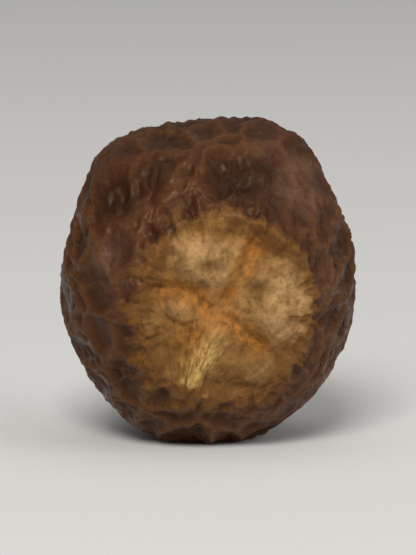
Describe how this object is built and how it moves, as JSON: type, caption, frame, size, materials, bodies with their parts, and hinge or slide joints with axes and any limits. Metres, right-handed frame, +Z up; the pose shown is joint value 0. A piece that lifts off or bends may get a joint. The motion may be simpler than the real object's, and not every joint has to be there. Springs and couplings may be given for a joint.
{
  "type": "soapberry",
  "caption": "Whole dried soapberry: round wrinkled fruit with raised net of ridges, two-lobed corky scar with raised lip, resting on a small flat spot.",
  "frame": {"origin": "middle of the small flat spot that the fruit rests on, under its weight", "axes": "+Z up; the corky scar faces -Y; +X to the right of the scar as it is looked at"},
  "size_m": [0.0179, 0.0177, 0.0194],
  "materials": {
    "skin": "satin"
  },
  "bodies": {
    "root": {"soapberry": "skin"}
  },
  "joints": []
}
